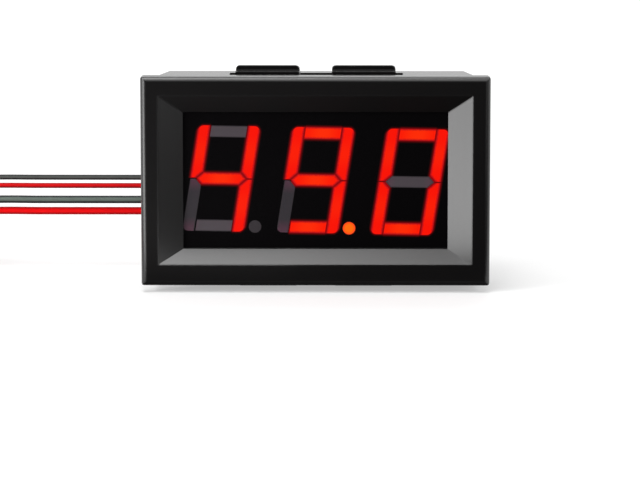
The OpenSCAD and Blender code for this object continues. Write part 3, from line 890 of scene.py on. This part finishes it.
@dataclass
class Coil:
    """A flat coil on the floor that holds the turns of one pair of leads."""

    middle: Place
    rings: tuple[float, float]
    turns: tuple[float, float]
    lead_diameter: float
    entry_angle: float
    spin: Spin
    tie_thickness: float = 0.25
    straight_shares: Span = (0.5, 1.0)

    def winding(self, which: int, step: float = 6.0) -> list[Point]:
        """Centreline of one lead's turns and of its short straight end.

        Args:
            which: Nought for the outer ring of turns, one for the inner.
            step: Degrees from point to point.

        Returns:
            The points, in millimetres.
        """
        ring, turns = self.rings[which], self.turns[which]
        count = max(round(turns * 360.0 / step), 1)
        base = self.tie_thickness + self.lead_diameter / 2
        points = []
        for i in range(count + 1):
            gone = turns * i / count
            angle = math.radians(self.entry_angle + self.spin.value * 360.0 * gone)
            rise = base + self.lead_diameter * gone
            points.append((self.middle[0] + ring * math.cos(angle),
                           self.middle[1] + ring * math.sin(angle), rise))
        last, angle = points[-1], math.radians(
            self.entry_angle + self.spin.value * 360.0 * turns)
        ahead = (-math.sin(angle) * self.spin.value, math.cos(angle) * self.spin.value)
        outer = self.rings[0] + self.lead_diameter / 2
        reach = math.sqrt(outer * outer - ring * ring)
        for share in self.straight_shares:
            points.append((last[0] + ahead[0] * reach * share,
                           last[1] + ahead[1] * reach * share, last[2]))
        return points


@dataclass
class Lead:
    """One soldered lead: its route, its place in the coil and its colours."""

    name: str
    route: tuple[Point, ...]
    diameter: float
    coil: Coil
    ring: int
    jacket: LeadJacket
    slot: str
    length: float
    spacing: float = 0.45
    sides: int = 5

    def line(self) -> list[Vector]:
        """Centreline of the whole lead, in metres.

        Returns:
            Close points along a smooth curve through the route and the coil.
        """
        route = (*self.route[:-1], *self.coil.winding(self.ring))
        knots = [Vector(point) * MM for point in route]
        padded = [2 * knots[0] - knots[1], *knots, 2 * knots[-1] - knots[-2]]
        points = []
        for four in zip(padded, padded[1:], padded[2:], padded[3:]):
            pieces = max(round((four[2] - four[1]).length / (self.spacing * MM)), 1)
            points += [self._between(*four, i / pieces) for i in range(pieces)]
        return [*points, knots[-1]]

    @staticmethod
    def _between(before: Vector, start: Vector, end: Vector, after: Vector,
                 share: float) -> Vector:
        """Point on a smooth curve, at a share of the way from start to end."""
        came, step, goes = start - before, end - start, after - end
        span = step.length
        ahead = step * span
        first = (came * came.length + ahead).normalized() * span
        last = (ahead + goes * goes.length).normalized() * span
        square, cube = share * share, share ** 3
        return ((2 * cube - 3 * square + 1) * start
                + (cube - 2 * square + share) * first
                + (3 * square - 2 * cube) * end + (cube - square) * last)

    def build(self) -> None:
        points = self.line()
        data = bpy.data.curves.new(self.name, "CURVE")
        data.dimensions = "3D"
        data.bevel_depth = self.diameter / 2 * MM
        data.bevel_resolution = self.sides
        data.use_fill_caps = True
        spline = data.splines.new("POLY")
        spline.points.add(len(points) - 1)
        for knot, point in zip(spline.points, points):
            knot.co = (*point, 1.0)
        data.materials.append(self.jacket.material())
        lead = bpy.data.objects.new(self.name + "_jacket", data)
        bpy.context.scene.collection.objects.link(lead)
        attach(lead, BODY)
        coil_node = self.name.split("_")[0] + "_coil"
        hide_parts(self.name + "_lead", coil_node)
        self.diameter * MM
        LOG.info("%s laid", lead.name)


def level(y: float, z: float, *xs: float) -> tuple[Point, ...]:
    """Points of a straight, level stretch, in millimetres."""
    return tuple((x, y, z) for x in xs)


@dataclass
class Leads:
    """The four leads with their coils, ties and tinned ends."""

    thin: float = 0.75
    thick: float = 1.1
    supply_length: float = 0.154
    signal_length: float = 0.16
    # Each pair: the jacket's colour, then the pale colour of its painted highlight.
    black_pvc: Shades = ((0.016, 0.017, 0.019), (0.13, 0.16, 0.14))
    thin_black_pvc: Shades = ((0.015, 0.015, 0.016), (0.083, 0.087, 0.082))
    red_pvc: Shades = ((0.5, 0.004, 0.006), (0.98, 0.004, 0.006))
    thin_red_pvc: Shades = ((0.36, 0.008, 0.01), (0.66, 0.005, 0.007))

    def all_leads(self) -> tuple[Lead, ...]:
        """The leads, top one first, with routes that start at their solder joints."""
        supply = Coil((-58.5, 19.0), (4.5, 3.7), (3.25, 4.0), self.thin, 270.0,
                      Spin.RIGHT)
        signal = Coil((-60.0, 6.6), (6.6, 5.45), (2.5, 3.0), self.thick, 90.0,
                      Spin.LEFT)
        minus_route = (
            (-16.9, 3.8, 14.05), (-16.9, 6.5, 13.9), (-16.9, 9.5, 13.35),
            (-16.9, 11.3, 13), (-17.2, 12.8, 12.8), (-18.1, 14.1, 12.7),
            (-19.4, 15, 12.7), *level(15.3, 12.7, -20.9, -26, -33, -40, -46.8),
            (-48.8, 15.3, 12.1), (-50.1, 15.3, 10.4), (-51.4, 15.3, 6.6),
            (-52.8, 15.3, 2.9), (-54.1, 15.3, 1.3), (-55.7, 15.3, 0.7),
            (-57, 15.3, 0.6))
        plus_route = (
            (-16.9, 3.8, 11.75), (-16.9, 6.5, 11.7), (-16.9, 9, 11.6),
            (-16.9, 10.5, 11.6), (-17.2, 12, 11.6), (-18.1, 13.3, 11.6),
            (-19.4, 14.2, 11.6), *level(14.5, 11.6, -20.9, -26, -33, -40, -47.2),
            (-49.2, 14.5, 11), (-50.5, 14.5, 9.2), (-51.6, 14.5, 6),
            (-52.7, 14.5, 2.9), (-54, 14.5, 1.3), (-56.8, 14.5, 0.65),
            (-57.5, 14.5, 0.62))
        signal_minus_route = (
            (-16.9, 3.8, 9.25), (-16.9, 5.6, 9.35), (-16.9, 7.5, 9.6),
            (-17.2, 9.2, 9.8), (-18.2, 10.7, 9.9), (-19.7, 11.7, 9.9),
            *level(12.05, 9.9, -21.5, -26, -33, -40, -46.4),
            (-48.9, 12.05, 9.2), (-50.7, 12.05, 7.3), (-52.9, 12.05, 3.3),
            (-54.8, 12.05, 1.5), (-56, 12.05, 1), (-58, 12.05, 0.8))
        signal_plus_route = (
            (-16.9, 3.8, 6.55), (-16.9, 6, 6.75), (-16.9, 8.6, 7.6),
            (-17.2, 10.3, 8), (-18.2, 11.8, 8.1), (-19.7, 12.8, 8.1),
            *level(13.2, 8.1, -21.5, -26, -33, -40, -46.8),
            (-49.3, 13.2, 7.4), (-51.1, 13.2, 5.5), (-52.4, 13.2, 3.3),
            (-54.2, 13.2, 1.5), (-57.6, 13.2, 0.8), (-59, 13.2, 0.8))
        return (
            Lead("supply_minus", minus_route, self.thin, supply, 1,
                 LeadJacket("black_thin", *self.thin_black_pvc), "lead_black",
                 self.supply_length),
            Lead("supply_plus", plus_route, self.thin, supply, 0,
                 LeadJacket("red_thin", *self.thin_red_pvc), "lead_red",
                 self.supply_length),
            Lead("signal_minus", signal_minus_route, self.thick, signal, 1,
                 LeadJacket("black_thick", *self.black_pvc), "lead_black",
                 self.signal_length),
            Lead("signal_plus", signal_plus_route, self.thick, signal, 0,
                 LeadJacket("red_thick", *self.red_pvc), "lead_red",
                 self.signal_length),
        )

    def build(self) -> None:
        """Lays the leads and paints their ties and tinned ends."""
        leads = self.all_leads()
        for lead in leads:
            lead.build()
        dress(Metal("tinned_strand", (0.66, 0.66, 0.68), 0.3),
              *(lead.name + "_tip" for lead in leads))
        dress(MouldedPlastic("tie_plastic", (0.02, 0.02, 0.022), 0.4),
              "supply_tie", "signal_tie")


# ------------------------------------------------------------- case and display


@dataclass
class Case:
    """The moulded housing."""

    plastic: CasePlastic = CasePlastic("black_case")

    def build(self) -> None:
        """Paints the housing."""
        dress(self.plastic, "housing")


@dataclass
class Display:
    """The sealed display block: its black face, segments, points and pins."""

    layout: DigitLayout = DigitLayout()
    seal_height: float = 0.5 * MM
    seal_depth: float = 1.0 * MM
    seal_inset: float = 0.05 * MM

    def seal(self) -> None:
        """Adds the foam strip that closes the slit under the display."""
        low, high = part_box("display_reflector")
        start = low.y + self.seal_inset
        maker = MeshMaker("display_seal")
        maker.rectangle((low.x, low.z - self.seal_height), (high.x, low.z),
                        (start, start + self.seal_depth))
        foam = MouldedPlastic("black_foam", (0.006, 0.006, 0.006), 0.9, 0.3)
        maker.finished(foam, "display_black")

    def build(self) -> None:
        """Paints every piece of the display and seals its lower edge."""
        digits = ("digit_1", "digit_2", "digit_3")
        dress(DisplayFace("display_face", self.layout), "display_reflector")
        dress(GlowingResin("segment_glow", self.layout), *(d + "_lit" for d in digits))
        dress(DarkResin("segment_grey", self.layout),
              *(d + "_dark" for d in digits), "point_dark")
        dress(GlowingPoint("point_glow"), "point_lit")
        dress(MouldedPlastic("bare_board", (0.42, 0.38, 0.2), 0.5), "display_board")
        dress(MouldedPlastic("back_resin", (0.62, 0.58, 0.46), 0.2, edge=0.05),
              "display_resin")
        dress(Metal("chip_metal", (0.7, 0.55, 0.25)), "light_chips")
        self.seal()


# --------------------------------------------------------------- circuit board


@dataclass
class Board:
    """The circuit board, the parts on it, and its pads, tracks and print."""

    flat_metal: tuple[str, ...] = (
        "controller_leads", "amplifier_leads", "regulator_tabs", "diode_tabs",
        "tantalum_tabs", "trimmer_tabs", "chip_part_ends")
    joints: tuple[str, ...] = ("pin_solder", "lead_solder")
    sunk_share: float = 0.25
    pad_margin: float = 0.12 * MM
    pad_t: float = 0.035 * MM
    track_w: float = 0.22 * MM
    track_t: float = 0.02 * MM
    wide_track: float = 2.4
    first_bend: float = 0.35
    next_bend: float = 0.06
    ink_w: float = 0.15 * MM
    ink_t: float = 0.03 * MM
    ink_gap: float = 0.35 * MM
    dot_away: float = 3.0
    dot_share: float = 1.4
    joint_sides: int = 10
    amplifier_run: tuple[Place, ...] = ((0.0, 0.0), (0.0, -1.1), (-1.2, -2.3))
    lead_run: tuple[Place, ...] = ((0.0, 0.0), (1.4, 0.0), (2.0, 0.6))

    def __post_init__(self) -> None:
        """Reads the board's place from the frame."""
        self.low, self.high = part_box("circuit_board")

    def layer(self, thickness: float) -> Span:
        """Where a layer on the board's back starts and ends along Y."""
        back = self.high.y
        return back - thickness * self.sunk_share, back + thickness

    def paint(self) -> None:
        """Paints the board and the parts on it."""
        dress(Laminate("green_mask", (0.012, 0.16, 0.05), (0.5, 0.47, 0.28),
                       self.low.y, self.high.y), "circuit_board")
        dress(Metal("bright_tin", (0.68, 0.68, 0.7), 0.3),
              "display_pins", *self.flat_metal)
        dress(Metal("solder_metal", (0.7, 0.71, 0.72), 0.17, 1.2, 0.03), *self.joints)
        dress(MouldedPlastic("package_black", (0.016, 0.016, 0.018), 0.55, 0.2, 10.0,
                             0.004, 0.08),
              "controller_body", "amplifier_body", "regulator_body")
        dress(BandedPlastic.on(
            "diode_body", "diode_black",
            ((0.018, 0.018, 0.02), (0.55, 0.55, 0.54)), (0.12, 0.27)), "diode_body")
        dress(BandedPlastic.on(
            "tantalum_body", "tantalum_yellow",
            ((0.78, 0.4, 0.035), (0.16, 0.05, 0.02)), (0.08, 0.24)), "tantalum_body")
        dress(MouldedPlastic("resistor_glaze", (0.012, 0.012, 0.015), 0.22),
              "resistor_bodies")
        dress(MouldedPlastic("ceramic_tan", (0.42, 0.26, 0.13), 0.5),
              "capacitor_bodies")
        dress(MouldedPlastic("trimmer_cream", (0.74, 0.71, 0.62), 0.45), "trimmer_body")
        dress(Metal("rotor_brass", (0.68, 0.47, 0.17), 0.3), "trimmer_rotor")

    def pads(self) -> None:
        """Adds a tinned pad under each lead, tab, end and joint."""
        maker, margin = MeshMaker("board_pads"), self.pad_margin
        span = self.layer(self.pad_t)
        for node in self.flat_metal:
            for low, high in solids_of(node):
                maker.rectangle((low.x - margin, low.z - margin),
                                (high.x + margin, high.z + margin), span)
        for node in self.joints:
            for low, high in solids_of(node):
                maker.disc(centre_of(low, high), (high.x - low.x) / 2 + margin, span)
        maker.finished(Metal("pad_tin", (0.7, 0.69, 0.66), 0.32), "tinned_metal")

    def run(self, maker: MeshMaker, points: Sequence[Place], width: float) -> None:
        """Adds one track to the maker's mesh, with round joints at its points."""
        span = self.layer(self.track_t)
        maker.strip(points, width, span)
        for point in points:
            maker.disc(point, width / 2, span, self.joint_sides)

    def tracks(self) -> None:
        """Adds the copper tracks that show as raised lines under the mask."""
        maker = MeshMaker("board_tracks")
        leads = solids_of("controller_leads")
        middle = sum((low.z + high.z) / 2 for low, high in leads) / len(leads)
        pin_at = [centre_of(*box) for box in solids_of("pin_solder")]
        for upper in (True, False):
            feet = [b for b in leads if ((b[0].z + b[1].z) / 2 > middle) == upper]
            row = [p for p in pin_at if (p[1] > middle) == upper]
            for i, ((low, high), target) in enumerate(zip(feet, row)):
                x = (low.x + high.x) / 2
                z = high.z if upper else low.z
                bend = z + (target[1] - z) * (self.first_bend + self.next_bend * i)
                side = min(abs(target[1] - bend), abs(target[0] - x))
                turn = math.copysign(side, target[0] - x)
                past = bend + math.copysign(side, target[1] - bend)
                self.run(maker, ((x, z), (x, bend), (x + turn, past), (target[0], past),
                                 target), self.track_w)
        for low, high in solids_of("amplifier_leads")[::2]:
            x = (low.x + high.x) / 2
            points = [(x + dx * MM, low.z + dz * MM) for dx, dz in self.amplifier_run]
            self.run(maker, points, self.track_w)
        for low, high in solids_of("lead_solder"):
            z = (low.z + high.z) / 2
            points = [(high.x + dx * MM, z + dz * MM) for dx, dz in self.lead_run]
            self.run(maker, points, self.wide_track * self.track_w)
        maker.finished(MouldedPlastic("raised_track", (0.02, 0.235, 0.075), 0.26, 0.1,
                                      edge=0.01), "solder_mask")

    def ink(self) -> None:
        """Prints the parts' outlines and a dot at the first lead of each chip."""
        maker, gap = MeshMaker("board_print"), self.ink_gap
        span = self.layer(self.ink_t)
        for node in ("trimmer_body", "tantalum_body", "diode_body"):
            low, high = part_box(node)
            x0, x1, z0, z1 = low.x - gap, high.x + gap, low.z - gap, high.z + gap
            corners = ((x0, z0), (x1, z0), (x1, z1), (x0, z1), (x0, z0))
            for stretch in zip(corners, corners[1:]):
                maker.strip(stretch, self.ink_w, span)
                maker.disc(stretch[0], self.ink_w / 2, span, self.joint_sides)
        for node in ("controller_body", "amplifier_body"):
            low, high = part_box(node)
            for x in (low.x - gap, high.x + gap):
                maker.strip(((x, low.z), (x, high.z)), self.ink_w, span)
            maker.disc((low.x - self.dot_away * gap, low.z),
                       self.ink_w * self.dot_share, span)
        maker.finished(MouldedPlastic("white_ink", (0.72, 0.73, 0.7), 0.6, edge=0.01),
                       "trimmer_white")

    def build(self) -> None:
        """Paints the board and adds its pads, tracks and print."""
        self.paint()
        self.pads()
        self.tracks()
        self.ink()


# ---------------------------------------------------------------------- studio


@dataclass(frozen=True)
class Softbox:
    """A square lamp aimed at the meter."""

    name: str
    where: Point
    side: float
    radiance: float

    def build(self, aim: Vector) -> None:
        """Hangs the lamp so that it faces the point aim."""
        data = bpy.data.lights.new(self.name, "AREA")
        data.shape = "SQUARE"
        data.size = self.side
        data.energy = self.radiance * math.pi * self.side * self.side
        lamp = bpy.data.objects.new(self.name, data)
        lamp.location = self.where
        lamp.rotation_euler = (aim - lamp.location).to_track_quat("-Z", "Y").to_euler()
        lamp.visible_camera = False
        bpy.context.scene.collection.objects.link(lamp)


@dataclass(frozen=True)
class Card:
    """A card on the table, given in millimetres, that only reflections see.

    Such cards shape the sheen of black things: a dark card keeps a face black and a
    bright one carries a low softbox down to the table.
    """

    name: str
    corners: tuple[Place, ...]
    level: float
    height: float = 0.6

    def build(self) -> None:
        """Sets up the card."""
        data = bpy.data.meshes.new(self.name)
        places = [(x * MM, y * MM, self.height * MM) for x, y in self.corners]
        data.from_pydata(places, [], [tuple(range(len(places)))])
        graph = Graph(self.name)
        values = {"Color": solid(WHITE), "Strength": self.level}
        shade = graph.node("ShaderNodeEmission", values=values)
        data.materials.append(graph.ended(shade))
        card = bpy.data.objects.new(self.name, data)
        for ray in ("camera", "diffuse", "transmission", "shadow", "volume_scatter"):
            setattr(card, f"visible_{ray}", False)
        bpy.context.scene.collection.objects.link(card)


@dataclass
class Studio:
    """Camera, lamps, floor and background.

    The camera's bezel_scale, image_size and bezel_at say how large the bezel shows in
    the frame, how large the frame is and where in it the bezel's middle lies.
    """

    distance: float = 0.45
    elevation: float = math.radians(7.5)
    azimuth: float = math.radians(0.5)
    bezel_scale: float = 7290.0
    image_size: tuple[int, int] = (640, 478)
    bezel_at: Place = (315.3, 181.9)
    sensor: float = 36.0
    clip: Span = (0.01, 20.0)
    lamps: tuple[Softbox, ...] = (
        Softbox("overhead", (-0.08, -0.13, 0.50), 0.22, 7.2),
        Softbox("overhead_back", (0.0, 0.26, 0.42), 0.26, 3.4),
        Softbox("left_key", (-0.26, -0.16, 0.09), 0.15, 9.0),
        Softbox("front_fill", (0.05, -0.42, 0.42), 0.3, 1.6),
    )
    sky: float = 0.35
    floor_reach: float = 6.0
    floor_colour: Colour = (0.62, 0.62, 0.62)
    lift_range: Span = (0.05, 0.6)
    lift: Span = (0.41, 0.85)
    cards: tuple[Card, ...] = (
        Card("left_card", ((-4, -21), (-300, -60), (-250, -190), (-4, -52)), 7.6),
        Card("right_card", ((4, -16), (330, -40), (330, -240), (4, -60)), 0.12),
    )

    def __post_init__(self) -> None:
        """Finds the middle of the bezel's face."""
        across, up = centre_of(*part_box("display_reflector"))
        self.middle = Vector((across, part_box("housing")[0].y, up))

    def camera(self) -> None:
        """Sets up the camera so that the bezel has its place and scale in the frame."""
        width, height = self.image_size
        focal = self.bezel_scale * self.distance
        data = bpy.data.cameras.new("camera")
        data.sensor_width = self.sensor
        data.lens = focal / width * self.sensor
        data.clip_start, data.clip_end = self.clip
        eye = bpy.data.objects.new("camera", data)
        level = math.cos(self.elevation)
        away = Vector((math.sin(self.azimuth) * level, -math.cos(self.azimuth) * level,
                       math.sin(self.elevation)))
        eye.location = self.middle + away * self.distance
        right = width / 2 - self.bezel_at[0]
        down = height / 2 - self.bezel_at[1]
        eye.rotation_euler = (
            math.pi / 2 - self.elevation - math.atan(down / focal),
            0.0,
            self.azimuth - math.atan(right / focal),
        )
        bpy.context.scene.collection.objects.link(eye)
        bpy.context.scene.camera = eye

    def floor(self) -> None:
        """Lays a pale floor that shows white to the camera and keeps soft shadows."""
        data = bpy.data.meshes.new("floor")
        reach = self.floor_reach
        signs = ((-1, -1), (1, -1), (1, 1), (-1, 1))
        corners = [(x * reach, y * reach, 0) for x, y in signs]
        data.from_pydata(corners, [], [(0, 1, 2, 3)])
        graph = Graph("pale_floor")
        values = {"Color": solid(self.floor_colour)}
        paint = graph.node("ShaderNodeBsdfDiffuse", values=values)
        away = graph.node("ShaderNodeVectorMath", {"operation": "LENGTH"},
                          {0: graph.place()}, output="Value")
        share = self.seen(graph) * away.ramped(*self.lift_range, *self.lift)
        values = {"Color": graph.mix(share, BLACK, WHITE), "Strength": 1.0}
        glow = graph.node("ShaderNodeEmission", values=values)
        both = graph.node("ShaderNodeAddShader", values={0: paint, 1: glow})
        data.materials.append(graph.ended(both))
        floor = bpy.data.objects.new("floor", data)
        bpy.context.scene.collection.objects.link(floor)

    @staticmethod
    def seen(graph: Graph) -> Wire:
        """One on what the camera sees, straight or by a mirror or glass."""
        path = graph.node("ShaderNodeLightPath")
        outputs = path.socket.node.outputs
        rays = [Wire(graph, outputs[f"Is {kind} Ray"])
                for kind in ("Camera", "Glossy", "Transmission")]
        return rays[0].most(rays[1]).most(rays[2])

    def world(self) -> None:
        """Lights the studio softly from all round and shows it white."""
        graph = Graph("studio", "World")
        seen = self.seen(graph)
        values = {"Color": solid(WHITE), "Strength": seen + self.sky * (1.0 - seen)}
        shade = graph.node("ShaderNodeBackground", values=values)
        bpy.context.scene.world = graph.ended(shade)

    def build(self) -> None:
        """Sets up floor, lamps and background."""
        self.floor()
        for lamp in self.lamps:
            lamp.build(self.middle)
        for card in self.cards:
            card.build()
        self.world()
        bpy.context.scene.view_settings.view_transform = "Standard"


def main() -> None:
    """Builds the scene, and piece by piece."""
    logging.basicConfig(level=logging.INFO, format="%(name)s: %(message)s")
    studio = Studio()
    studio.camera()
    Leads().build()
    Case().build()
    Display().build()
    Board().build()
    studio.build()


if __name__ == "__main__":
    main()
